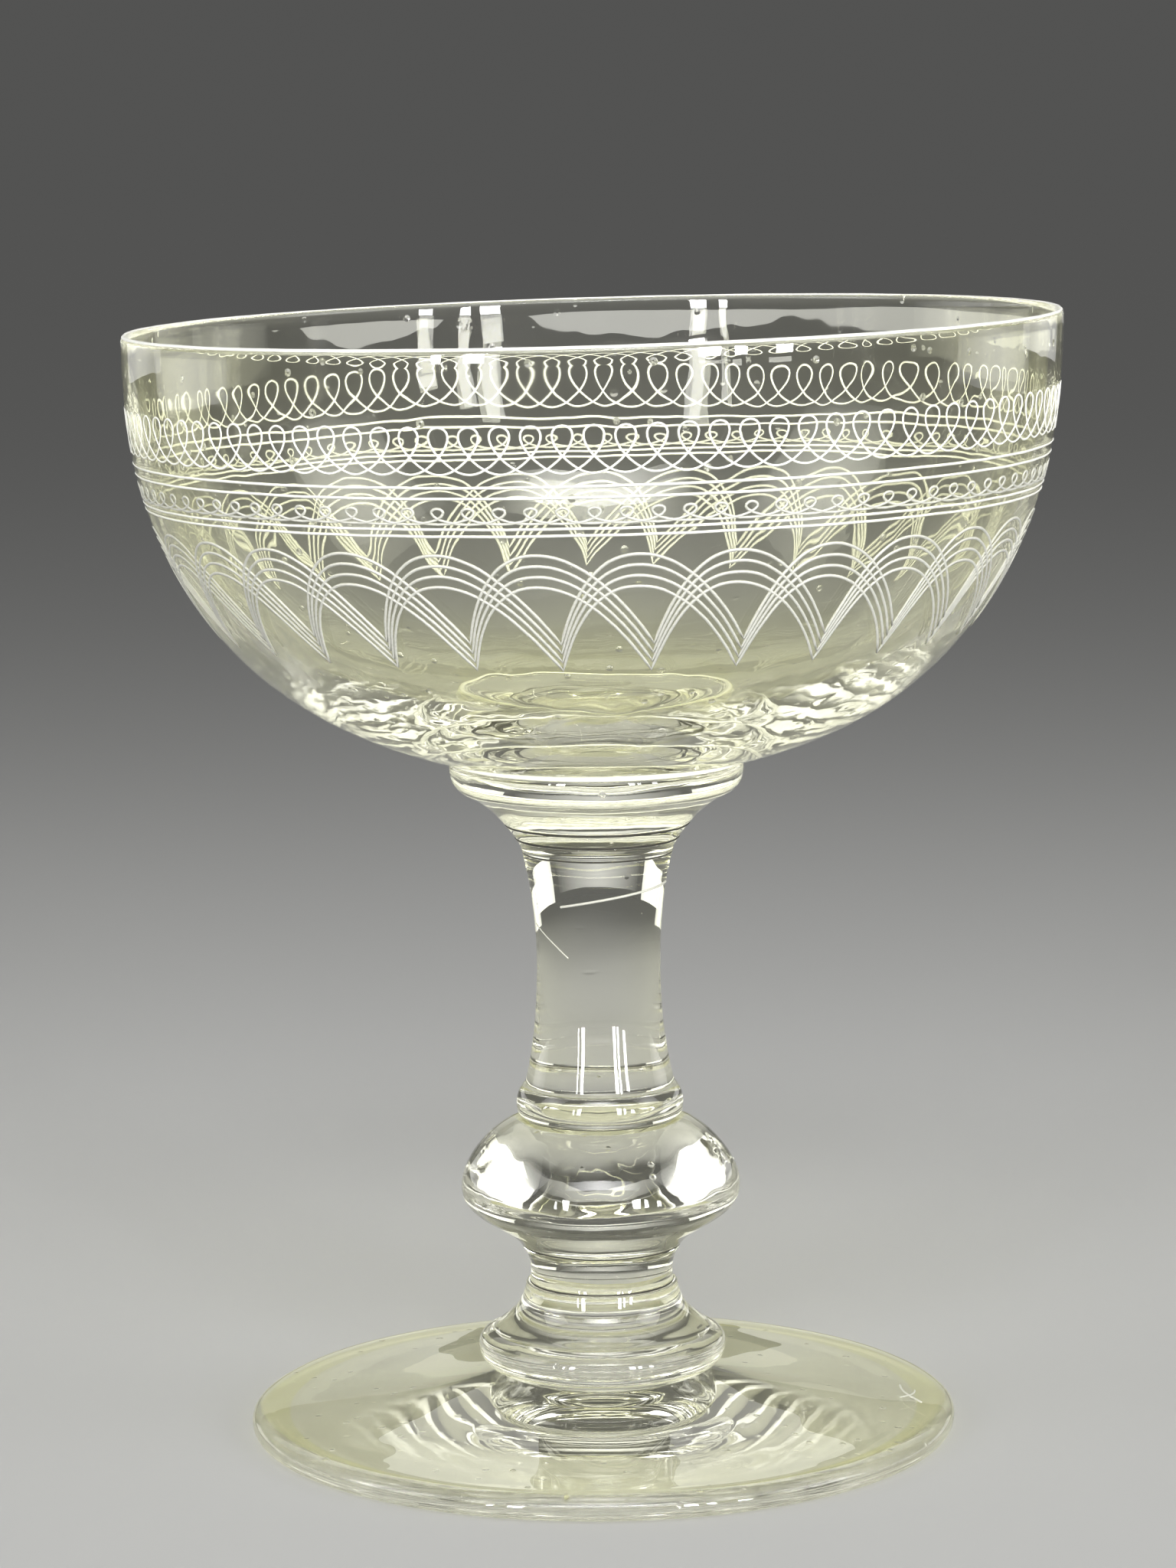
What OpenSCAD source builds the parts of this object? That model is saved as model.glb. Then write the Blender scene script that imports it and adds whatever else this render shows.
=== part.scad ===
// Coupe glass: a shallow champagne bowl on a solid stem with one knop.
// Eight bits of glass are stacked on the Z axis and fused at flat round seats.
// The glass stands on Z = 0, and every height below is counted up from there.

/* [Foot] */
// Diameter of the foot
foot_d = 77; // [60:0.5:95]
// Height of the foot from the table to its seat
foot_h = 6.4; // [5:0.1:9]
// Thickness of the foot at its edge
foot_edge_h = 2.6; // [1.8:0.1:3.5]
// Radius that rounds the foot's edge on the table side
foot_edge_r = 1.3; // [0.6:0.1:1.6]
// How far in the top of the foot starts to round over
foot_edge_in = 2.6; // [1:0.1:4]
// Width of the flat ring that the foot stands on
foot_ring_w = 3; // [1:0.25:6]
// Height of the shallow hollow under the foot
foot_hollow_h = 1.1; // [0.4:0.1:2]
// Diameter of the ground spot in the middle of the hollow
foot_spot_d = 17; // [8:0.5:24]
// Depth of the ground spot
foot_spot_h = 0.5; // [0.2:0.05:1]

/* [Foot merese] */
// Height of the bell of glass on the foot
foot_merese_h = 9.7; // [6:0.1:14]
// Diameter of its rounded edge
foot_merese_d = 27; // [24:0.2:36]
// Height of its rounded edge
foot_merese_edge_h = 3.3; // [1.5:0.1:4]
// Diameter of its seat on the foot
foot_merese_seat_d = 22.4; // [18:0.2:26]
// How far its edge hangs above the seat
foot_merese_lift = 1.1; // [0.5:0.1:2]
// Diameter of the ledge at its top
foot_merese_top_d = 16.6; // [16.2:0.1:20]
// Radius that rounds the ledge
foot_merese_top_r = 0.3; // [0.1:0.05:0.5]

/* [Neck] */
// Height of the neck under the knop
neck_h = 4.2; // [3:0.1:9]
// Diameter of the neck at its waist
neck_d = 15.5; // [12:0.1:15.8]
// Height of the waist above the bottom of the neck
neck_waist_h = 1.2; // [0.6:0.1:2.4]
// Diameter of the neck's seat on the foot merese
neck_seat_d = 15.8; // [14:0.1:16]

/* [Knop] */
// Height of the knop
knop_h = 14.1; // [10:0.1:20]
// Diameter of the knop
knop_d = 30.5; // [24:0.25:40]
// Height of the knop's widest line above its own bottom
knop_belly_h = 6.5; // [4:0.1:8]
// Diameter of the knop's seat on the neck
knop_seat_d = 17.5; // [15:0.1:20]

/* [Stem collar] */
// Height of the ring on top of the knop
collar_h = 3.8; // [2.6:0.1:6]
// Diameter of the ring
collar_d = 18.2; // [17.6:0.1:24]
// Height of the ring's widest line above its own bottom
collar_belly_h = 1.5; // [0.8:0.1:2]
// Diameter of the ring's seat on the knop
collar_seat_d = 16.6; // [15:0.1:17.5]

/* [Shaft] */
// Height of the stem's shaft
shaft_h = 25.4; // [18:0.2:40]
// Diameter of the shaft at its waist
shaft_d = 13.4; // [10:0.1:14.5]
// Height of the waist above the bottom of the shaft
shaft_waist_h = 12.7; // [9:0.1:16]
// Diameter of the shaft's seat on the ring
shaft_seat_d = 16.3; // [14.8:0.1:17]

/* [Bowl merese] */
// Height of the trumpet of glass under the bowl
bowl_merese_h = 10; // [7:0.1:14]
// Diameter of its rounded edge
bowl_merese_d = 31.8; // [28:0.2:40]
// Height of its rounded edge
bowl_merese_edge_h = 3.5; // [2:0.1:5]
// How far the rounded edge stands out past the bowl's seat
bowl_merese_lip = 0.7; // [0.4:0.05:1.6]
// Diameter of its seat on the shaft
bowl_merese_seat_d = 16.3; // [14.8:0.1:18]

/* [Bowl] */
// Outside diameter of the bowl at the rim
rim_d = 100; // [80:0.5:120]
// Height of the bowl from its seat to the rim
bowl_h = 47.2; // [38:0.2:60]
// Thickness of the wall at the rim
bowl_wall = 1.1; // [0.8:0.05:2]
// Thickness of the glass at the bottom of the bowl
bowl_base_h = 3.8; // [2.5:0.1:6]

/* [Smoothness] */
// Number of steps along each curve of an outline
curve_steps = 24; // [8:1:48]
// Number of steps round the lip of the bowl
lip_steps = 10; // [4:1:24]

/* [Hidden] */
$fn = 120;

// Each bit of glass rests on the one below it
foot_merese_z = foot_h;
neck_z = foot_merese_z + foot_merese_h;
knop_z = neck_z + neck_h;
collar_z = knop_z + knop_h;
shaft_z = collar_z + collar_h;
bowl_merese_z = shaft_z + shaft_h;
bowl_z = bowl_merese_z + bowl_merese_h;

// The bowl sits within the rounded edge of its merese
bowl_seat_d = bowl_merese_d - 2 * bowl_merese_lip;

// Handles of each curve, as shares of the way between its ends in radius and in height
foot_spot_shares = [[0.5, 0]];
foot_hollow_shares = [[0.5, 0]];
foot_edge_low_shares = [[1, 0]];
foot_edge_top_shares = [[0, 1]];
foot_slope_shares = [[0.45, 0.25], [0.8, 0.6]];
foot_merese_under_shares = [[1, 0.3]];
foot_merese_edge_shares = [[0, 0.75]];
foot_merese_slope_shares = [[0.18, 0.22], [0.87, 0.34]];
foot_merese_top_shares = [[0, 1]];
neck_foot_shares = [[1, 0.3]];
neck_top_shares = [[0, 0.5]];
knop_under_shares = [[0.3, 0.44], [1, 0.48]];
knop_top_shares = [[0, 0.46], [0.65, 0.98]];
collar_under_shares = [[1, 0.17]];
collar_top_shares = [[0, 0.62]];
shaft_foot_shares = [[1, 0.45]];
shaft_top_shares = [[0, 0.55]];
bowl_merese_neck_shares = [[0, 0.17], [0.52, 0.81]];
bowl_merese_edge_shares = [[1, 0.21]];
bowl_merese_top_shares = [[0, 1]];
bowl_side_shares = [[0.84, 0.136], [0.838, 0.556], [1, 0.548]];
bowl_inside_shares = [[0, 0.59], [0.15, 0.27], [-0.02, 1.18], [0.89, 1]];

// Point at share t along the curve that the handles p pull on
function along(p, t) =
    len(p) == 1
        ? p[0]
        : along([for (i = [0:len(p) - 2]) p[i] * (1 - t) + p[i + 1] * t], t);

// Point at shares s of the way from point a to point b, in radius and in height
function between(a, b, s) = [a[0] + (b[0] - a[0]) * s[0], a[1] + (b[1] - a[1]) * s[1]];

// Points of a curve from a to b, without a, with its handles at shares of the way
function bend(a, b, shares, steps = curve_steps) =
    let (handles = concat([a], [for (s = shares) between(a, b, s)], [b]))
    [for (i = [1:steps]) along(handles, i / steps)];

// Turns an outline of radius and height points about the Z axis
module turned(outline, z = 0) {
    translate([0, 0, z])
        rotate_extrude()
            polygon(outline);
}

// Disc with a rounded edge, a sloping top and a shallow hollow under it
module foot() {
    foot_r = foot_d / 2;
    spot_top = [0, foot_hollow_h + foot_spot_h];
    spot_rim = [foot_spot_d / 2, foot_hollow_h];
    ring_in = [foot_r - foot_edge_r - foot_ring_w, 0];
    ring_out = [foot_r - foot_edge_r, 0];
    edge = [foot_r, foot_edge_r];
    edge_top = [foot_r - foot_edge_in, foot_edge_h];
    seat = [foot_merese_seat_d / 2, foot_h];
    color("honeydew", 0.4)
        turned(concat(
            [spot_top],
            bend(spot_top, spot_rim, foot_spot_shares),
            bend(spot_rim, ring_in, foot_hollow_shares),
            [ring_out],
            bend(ring_out, edge, foot_edge_low_shares),
            bend(edge, edge_top, foot_edge_top_shares),
            bend(edge_top, seat, foot_slope_shares),
            [[0, foot_h]]
        ));
}

// Bell of glass on the foot, with a rounded edge that hangs over its seat
module foot_merese() {
    seat = [foot_merese_seat_d / 2, 0];
    edge = [foot_merese_d / 2, foot_merese_lift + foot_merese_edge_h / 2];
    edge_top = [edge[0] - foot_merese_edge_h / 2, foot_merese_lift + foot_merese_edge_h];
    ledge = [foot_merese_top_d / 2, foot_merese_h - foot_merese_top_r];
    top = [ledge[0] - foot_merese_top_r, foot_merese_h];
    color("honeydew", 0.4)
        turned(concat(
            [[0, 0], seat],
            bend(seat, edge, foot_merese_under_shares),
            bend(edge, edge_top, foot_merese_edge_shares),
            bend(edge_top, ledge, foot_merese_slope_shares),
            bend(ledge, top, foot_merese_top_shares),
            [[0, foot_merese_h]]
        ), foot_merese_z);
}

// Short waisted length of stem
module stem_neck() {
    seat = [neck_seat_d / 2, 0];
    waist = [neck_d / 2, neck_waist_h];
    top = [knop_seat_d / 2, neck_h];
    color("honeydew", 0.4)
        turned(concat(
            [[0, 0], seat],
            bend(seat, waist, neck_foot_shares),
            bend(waist, top, neck_top_shares),
            [[0, neck_h]]
        ), neck_z);
}

// Solid flattened ball, fuller above its widest line than below it
module knop() {
    seat = [knop_seat_d / 2, 0];
    belly = [knop_d / 2, knop_belly_h];
    top = [collar_seat_d / 2, knop_h];
    color("honeydew", 0.4)
        turned(concat(
            [[0, 0], seat],
            bend(seat, belly, knop_under_shares),
            bend(belly, top, knop_top_shares),
            [[0, knop_h]]
        ), knop_z);
}

// Ring between the knop and the shaft, with its widest line low down
module stem_collar() {
    seat = [collar_seat_d / 2, 0];
    belly = [collar_d / 2, collar_belly_h];
    top = [shaft_seat_d / 2, collar_h];
    color("honeydew", 0.4)
        turned(concat(
            [[0, 0], seat],
            bend(seat, belly, collar_under_shares),
            bend(belly, top, collar_top_shares),
            [[0, collar_h]]
        ), collar_z);
}

// Solid shaft, drawn in at its waist
module stem_shaft() {
    seat = [shaft_seat_d / 2, 0];
    waist = [shaft_d / 2, shaft_waist_h];
    top = [bowl_merese_seat_d / 2, shaft_h];
    color("honeydew", 0.4)
        turned(concat(
            [[0, 0], seat],
            bend(seat, waist, shaft_foot_shares),
            bend(waist, top, shaft_top_shares),
            [[0, shaft_h]]
        ), shaft_z);
}

// Trumpet of glass that spreads from the shaft to the bowl
module bowl_merese() {
    edge_r = bowl_merese_d / 2;
    seat = [bowl_merese_seat_d / 2, 0];
    edge_low = [edge_r - bowl_merese_edge_h / 2, bowl_merese_h - bowl_merese_edge_h];
    edge = [edge_r, bowl_merese_h - bowl_merese_lip];
    top = [bowl_seat_d / 2, bowl_merese_h];
    color("honeydew", 0.4)
        turned(concat(
            [[0, 0], seat],
            bend(seat, edge_low, bowl_merese_neck_shares),
            bend(edge_low, edge, bowl_merese_edge_shares),
            bend(edge, top, bowl_merese_top_shares),
            [[0, bowl_merese_h]]
        ), bowl_merese_z);
}

// Thin open bowl whose wall thickens towards the bottom
module bowl() {
    rim_r = rim_d / 2;
    lip_r = bowl_wall / 2;
    lip_z = bowl_h - lip_r;
    seat = [bowl_seat_d / 2, 0];
    outer_lip = [rim_r, lip_z];
    inner_lip = [rim_r - bowl_wall, lip_z];
    color("honeydew", 0.4)
        turned(concat(
            [[0, 0], seat],
            bend(seat, outer_lip, bowl_side_shares, 2 * curve_steps),
            [for (i = [1:lip_steps - 1])
                let (turn = 180 * i / lip_steps)
                [rim_r - lip_r + lip_r * cos(turn), lip_z + lip_r * sin(turn)]],
            [inner_lip],
            bend(inner_lip, [0, bowl_base_h], bowl_inside_shares, 2 * curve_steps)
        ), bowl_z);
}

foot();
foot_merese();
stem_neck();
knop();
stem_collar();
stem_shaft();
bowl_merese();
bowl();
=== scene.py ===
import math

import bpy
from mathutils import Matrix, Vector


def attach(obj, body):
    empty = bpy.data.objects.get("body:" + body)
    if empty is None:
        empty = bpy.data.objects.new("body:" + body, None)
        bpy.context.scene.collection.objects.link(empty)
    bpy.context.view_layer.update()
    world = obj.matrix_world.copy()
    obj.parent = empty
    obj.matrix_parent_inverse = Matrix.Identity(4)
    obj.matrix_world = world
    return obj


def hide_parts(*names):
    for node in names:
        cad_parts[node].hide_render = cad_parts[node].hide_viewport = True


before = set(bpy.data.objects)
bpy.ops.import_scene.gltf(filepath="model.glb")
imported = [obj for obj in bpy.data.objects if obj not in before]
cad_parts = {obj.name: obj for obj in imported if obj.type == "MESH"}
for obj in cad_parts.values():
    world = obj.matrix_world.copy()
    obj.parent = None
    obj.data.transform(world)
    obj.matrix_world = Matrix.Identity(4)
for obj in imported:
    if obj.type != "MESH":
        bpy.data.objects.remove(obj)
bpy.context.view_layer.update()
mm = 0.001  # the named sizes below are in millimetres, and Blender works in metres
curveSteps = 24  # steps along each curve of an outline, where its piece gives no other number
turnSteps = 240  # faces round a turned piece
outThenUp, upThenIn = [(1, 0)], [(0, 1)]  # rounded corners
print("frame loaded with", len(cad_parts), "nodes")


# outlines: points of radius and height, as the turned solids have them

def shareOfWay(a, b, share):
    return (a[0] + (b[0] - a[0]) * share[0], a[1] + (b[1] - a[1]) * share[1])


def pointAlong(handles, t):
    while len(handles) > 1:
        handles = [
            (a[0] * (1 - t) + b[0] * t, a[1] * (1 - t) + b[1] * t)
            for a, b in zip(handles, handles[1:])
        ]
    return handles[0]


def bend(a, b, shares, steps=curveSteps):
    handles = [a] + [shareOfWay(a, b, share) for share in shares] + [b]
    return [pointAlong(handles, i / steps) for i in range(1, steps + 1)]


def raised(points, z):
    return [(r, h + z) for r, h in points]


def heightOn(points, z):  # the point at a height, where the outline runs upwards
    for a, b in zip(points, points[1:]):
        if a[0] and b[0] and a[1] <= z <= b[1] and b[1] > a[1]:
            return (a[0] + (b[0] - a[0]) * (z - a[1]) / (b[1] - a[1]), z)


def arcDown(points, z):  # how far down the outside an outline has come at a height
    far = 0
    for a, b in zip(points, points[1:]):
        step = math.dist(a, b)
        if b[1] <= z <= a[1] and a[1] > b[1]:
            return far + step * (a[1] - z) / (a[1] - b[1])
        far += step
    return far


# a bevel at each fused seat of a turned piece, and small grooves round it
def grooved(points, seats=0.0, grooves=()):
    if seats:
        first, last = points[1], points[-2]
        low, high = first[1], last[1]
        under, over = heightOn(points, low + seats), heightOn(points, high - seats)
        side = [q for q in points[1:-1] if low + seats < q[1] < high - seats]
        points = [points[0], (first[0] - seats, low), under] + side + [over, (last[0] - seats, high), points[-1]]
    for z, depth, width in grooves:
        under, middle, over = (heightOn(points, z + way) for way in (-width / 2, 0, width / 2))
        before = [q for q in points if q[1] <= under[1]]
        after = [q for q in points if q[1] >= over[1]]
        points = before + [under, (middle[0] - depth, z), over] + after
    return points


def outlineMesh(name, points):
    mesh = bpy.data.meshes.new(name)
    mesh.from_pydata(
        [(r * mm, 0, z * mm) for r, z in points],
        [(i, i + 1) for i in range(len(points) - 1)],
        [],
    )
    obj = bpy.data.objects.new(name, mesh)
    bpy.context.scene.collection.objects.link(obj)
    return obj


# node trees

def feed(tree, value, socket):
    if isinstance(value, bpy.types.NodeSocket):
        tree.links.new(value, socket)
    elif value is not None:
        socket.default_value = value


def addNode(tree, kind, inputs=None, **settings):
    node = tree.nodes.new(kind)
    for name, value in settings.items():
        setattr(node, name, value)
    for name, value in (inputs or {}).items():
        feed(tree, value, node.inputs[name])
    return node


def calc(tree, operation, *values):
    node = tree.nodes.new("ShaderNodeMath")
    node.operation = operation
    for value, socket in zip(values, node.inputs):
        feed(tree, value, socket)
    return node.outputs[0]


def split(tree, vector):
    return addNode(tree, "ShaderNodeSeparateXYZ", {"Vector": vector}).outputs


def position(tree):
    return addNode(tree, "GeometryNodeInputPosition").outputs[0]


def softNoise(tree, place, seed, scale, detail, twist=0.0):
    return addNode(tree, "ShaderNodeTexNoise", {
        "Vector": place, "W": seed, "Scale": scale, "Detail": detail, "Distortion": twist,
    }, noise_dimensions="4D").outputs[0]


def mapped(tree, value, ends, results=(0.0, 1.0), kind="LINEAR"):
    return addNode(tree, "ShaderNodeMapRange", {
        "Value": value, "From Min": ends[0], "From Max": ends[1], "To Min": results[0], "To Max": results[1],
    }, interpolation_type=kind).outputs[0]


def blendColour(tree, factor, first, second):
    return addNode(tree, "ShaderNodeMix", {
        "Factor": factor, 6: (*first, 1), 7: (*second, 1),
    }, data_type="RGBA").outputs[2]


def moved(tree, body, **where):
    return addNode(tree, "GeometryNodeSetPosition", {"Geometry": body, **where}).outputs[0]


def smooth(tree, body):
    return addNode(tree, "GeometryNodeSetShadeSmooth", {
        "Geometry": body, "Shade Smooth": True,
    }, domain="FACE").outputs[0]


def madeOf(tree, body, material):  # real geometry in one material
    body = addNode(tree, "GeometryNodeRealizeInstances", {"Geometry": body}).outputs[0]
    return addNode(tree, "GeometryNodeSetMaterial", {"Geometry": body, "Material": material}).outputs[0]


def newTree(name, inputs, kind="GeometryNodeTree", outputs=(("Geometry", "Geometry"),)):
    tree = bpy.data.node_groups.new(name, kind)
    for label, socketKind in inputs:
        tree.interface.new_socket(label, in_out="INPUT", socket_type="NodeSocket" + socketKind)
    for label, socketKind in outputs:
        tree.interface.new_socket(label, in_out="OUTPUT", socket_type="NodeSocket" + socketKind)
    return tree, tree.nodes.new("NodeGroupInput").outputs, tree.nodes.new("NodeGroupOutput").inputs


def growMesh(obj, tree, values):
    modifier = obj.modifiers.new(tree.name, "NODES")
    modifier.node_group = tree
    for item in tree.interface.items_tree:
        if item.in_out == "INPUT" and item.name in values:
            modifier[item.identifier] = values[item.name]
    graph = bpy.context.evaluated_depsgraph_get()
    mesh = bpy.data.meshes.new_from_object(obj.evaluated_get(graph), depsgraph=graph)
    obj.modifiers.clear()
    used = [m for m in mesh.materials if m]
    order = [used.index(m) if m else 0 for m in mesh.materials]
    slots = [order[face.material_index] for face in mesh.polygons]
    mesh.materials.clear()
    for material in used:
        mesh.materials.append(material)
    mesh.polygons.foreach_set("material_index", slots)
    drawn, obj.data = obj.data, mesh
    bpy.data.meshes.remove(drawn)
    mesh.name = obj.name


upright = {"Lean": 0.0, "Lean From": 0.0, "Lean To": 1.0}
leanInputs = [(label, "Float") for label in upright]


def leaningTree():  # the blown bowl stands a little higher on one side of its rim
    tree, given, result = newTree("leaning", [("Geometry", "Geometry"), *leanInputs])
    place = split(tree, position(tree))
    share = mapped(tree, place["Z"], (given["Lean From"], given["Lean To"]), kind="SMOOTHSTEP")
    rise = calc(tree, "MULTIPLY", calc(tree, "MULTIPLY", place["X"], given["Lean"]), share)
    offset = addNode(tree, "ShaderNodeCombineXYZ", {"Z": rise}).outputs[0]
    tree.links.new(moved(tree, given["Geometry"], Offset=offset), result["Geometry"])
    return tree


def leaned(tree, geometry, given):
    node = addNode(tree, "GeometryNodeGroup", node_tree=leaning)
    tree.links.new(geometry, node.inputs["Geometry"])
    for label in upright:
        tree.links.new(given[label], node.inputs[label])
    return node.outputs["Geometry"]


turning = {  # metres and degrees
    "merge": 2e-6, "level": 5e-6,
    "seatFade": 0.0018,  # how far from a seat the waves come in
    "sharp": 28,  # an edge that bends more than this stays crisp
    "waveDetail": 1.0,
}


def turnedGlassTree():
    tree, given, result = newTree("turnedGlass", [
        ("Outline", "Geometry"), ("Turn Steps", "Int"), ("Low Seat", "Float"), ("High Seat", "Float"),
        ("Seat Radius Low", "Float"), ("Seat Radius High", "Float"), ("Wave Height", "Float"),
        ("Wave Size", "Float"), ("Wave Seed", "Float"), ("Glass", "Material"), ("Joint", "Material"), *leanInputs,
    ])
    do = lambda operation, *values: calc(tree, operation, *values)
    count = addNode(tree, "GeometryNodeAttributeDomainSize", {"Geometry": given["Outline"]}).outputs["Point Count"]
    steps = given["Turn Steps"]
    last = do("SUBTRACT", count, 1)
    grid = addNode(tree, "GeometryNodeMeshGrid", {
        "Size X": steps, "Size Y": last, "Vertices X": do("ADD", steps, 1), "Vertices Y": count,
    }).outputs["Mesh"]
    place = split(tree, position(tree))
    turn = do("ADD", place["X"], do("MULTIPLY", steps, 0.5))
    angle = do("DIVIDE", do("MULTIPLY", do("ROUND", turn), math.tau), steps)
    row = do("ROUND", do("ADD", place["Y"], do("MULTIPLY", last, 0.5)))
    drawn = split(tree, addNode(tree, "GeometryNodeSampleIndex", {
        "Geometry": given["Outline"], "Value": position(tree), "Index": row,
    }, data_type="FLOAT_VECTOR", domain="POINT").outputs[0])
    turned = addNode(tree, "ShaderNodeCombineXYZ", {
        "X": do("MULTIPLY", drawn["X"], do("COSINE", angle)),
        "Y": do("MULTIPLY", drawn["X"], do("SINE", angle)),
        "Z": drawn["Z"],
    }).outputs[0]
    body = moved(tree, grid, Position=turned)
    body = addNode(tree, "GeometryNodeMergeByDistance", {"Geometry": body, "Distance": turning["merge"]}).outputs[0]
    # slow waves of hand work, which fade out at the seats so that neighbours still meet
    height = split(tree, position(tree))["Z"]
    scale = do("DIVIDE", 1.0, given["Wave Size"])
    noise = softNoise(tree, position(tree), given["Wave Seed"], scale, turning["waveDetail"])
    wave = do("MULTIPLY", do("SUBTRACT", noise, 0.5), given["Wave Height"])
    for seat in ("Low Seat", "High Seat"):
        away = do("ABSOLUTE", do("SUBTRACT", height, given[seat]))
        wave = do("MULTIPLY", wave, mapped(tree, away, (0.0, turning["seatFade"]), kind="SMOOTHSTEP"))
    push = addNode(tree, "ShaderNodeVectorMath", {
        0: addNode(tree, "GeometryNodeInputNormal").outputs[0], "Scale": wave,
    }, operation="SCALE").outputs[0]
    body = leaned(tree, moved(tree, body, Offset=push), given)
    bent = addNode(tree, "GeometryNodeInputMeshEdgeAngle").outputs[0]
    body = addNode(tree, "GeometryNodeSetShadeSmooth", {
        "Geometry": smooth(tree, body), "Selection": do("GREATER_THAN", bent, math.radians(turning["sharp"])),
        "Shade Smooth": False,
    }, domain="EDGE").outputs[0]
    body = madeOf(tree, body, given["Glass"])
    # the faces that are fused to the next pieces
    middle = split(tree, position(tree))
    out = do("SQRT", do("ADD", do("POWER", middle["X"], 2.0), do("POWER", middle["Y"], 2.0)))
    fused = [
        do("MULTIPLY", do("COMPARE", middle["Z"], given[seat], turning["level"]), do("LESS_THAN", out, given[reach]))
        for seat, reach in (("Low Seat", "Seat Radius Low"), ("High Seat", "Seat Radius High"))
    ]
    body = addNode(tree, "GeometryNodeSetMaterial", {
        "Geometry": body, "Selection": do("MAXIMUM", *fused), "Material": given["Joint"],
    }).outputs[0]
    tree.links.new(body, result["Geometry"])
    return tree


# materials

def newMaterial(name):
    material = bpy.data.materials.new(name)
    material.use_nodes = True
    tree = material.node_tree
    tree.nodes.clear()
    return material, tree, tree.nodes.new("ShaderNodeOutputMaterial").inputs["Surface"]


def fusedJoint():
    material, tree, surface = newMaterial("fusedJoint")
    tree.links.new(addNode(tree, "ShaderNodeBsdfTransparent").outputs[0], surface)
    return material


glassPattern = {
    "waveDetail": 2.0,
    "cloudScale": 60.0, "cloudDetail": 3.0,
    "bubbleEdge": (0.03, 0.11),
    "smearScale": 35.0, "smearDetail": 3.0, "smearTwist": 0.8, "smearEdge": (0.52, 0.78),
}


def wavyGlassGroup():
    tree, given, result = newTree("wavyGlass", [
        ("Wave Size", "Float"), ("Wave Depth", "Float"), ("Flatten", "Float"), ("Seed", "Float"),
        ("Bubble Gap", "Float"), ("Bubble Depth", "Float"), ("Worn Below", "Float"),
    ], "ShaderNodeTree", (("Height", "Float"), ("Cloud", "Float"), ("Smudge", "Float")))
    do = lambda operation, *values: calc(tree, operation, *values)
    place = addNode(tree, "ShaderNodeTexCoord").outputs["Object"]
    stretch = addNode(tree, "ShaderNodeCombineXYZ", {"X": 1.0, "Y": 1.0, "Z": given["Flatten"]}).outputs[0]
    stretched = addNode(tree, "ShaderNodeVectorMath", {0: place, 1: stretch}, operation="MULTIPLY").outputs[0]
    scale = do("DIVIDE", 1.0, given["Wave Size"])
    waves = softNoise(tree, stretched, given["Seed"], scale, glassPattern["waveDetail"])
    cloud = softNoise(tree, place, given["Seed"], glassPattern["cloudScale"], glassPattern["cloudDetail"])
    # a few small bubbles just under the skin
    cells = addNode(tree, "ShaderNodeTexVoronoi", {
        "Vector": addNode(tree, "ShaderNodeVectorMath", {0: place, 1: given["Seed"]}, operation="ADD").outputs[0],
        "Scale": do("DIVIDE", 1.0, given["Bubble Gap"]),
    })
    bubble = mapped(tree, cells.outputs["Distance"], glassPattern["bubbleEdge"], (1.0, 0.0), "SMOOTHSTEP")
    height = do("SUBTRACT", do("MULTIPLY", waves, given["Wave Depth"]), do("MULTIPLY", bubble, given["Bubble Depth"]))
    # thin smudges, and wear where the glass stands
    smear = softNoise(tree, place, given["Seed"], glassPattern["smearScale"], glassPattern["smearDetail"],
                      glassPattern["smearTwist"])
    smear = mapped(tree, smear, glassPattern["smearEdge"])
    standing = mapped(tree, split(tree, place)["Z"], (0.0, given["Worn Below"]), (1.0, 0.0))
    tree.links.new(height, result["Height"])
    tree.links.new(cloud, result["Cloud"])
    tree.links.new(do("MAXIMUM", smear, standing), result["Smudge"])
    return tree


glassLook = {  # lengths that a shader reads are in metres
    "ior": 1.5,
    "roughness": 0.0,
    "smudge": 0.0,  # roughness of the smudges, on the pieces that hands and tables touch
    "bubbleGap": 0.004, "bubbleDepth": 0.00006, "wornBelow": 0.0001,
    "clear": 0.994,  # the rest is the faint veil of old glass
    "tint": (0.98, 0.978, 0.89),
    "deepTint": (0.965, 0.96, 0.64),  # where the eye looks along the glass
    "edgeBlend": 0.35, "deepLeast": 0.4,
    "thickBelow": 0.0, "thinAbove": 0.001,  # millimetres from the table: deep tint below, none above
    "shadowClear": (0.97, 0.97, 0.95),
    "shadowEdge": (0.4, 0.4, 0.35),
    "waveSize": 0.006,
    "waveDepth": 0.00012,
    "flatten": 1.0,  # less draws the waves out upwards
    "seed": 1.0,
}


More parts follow.
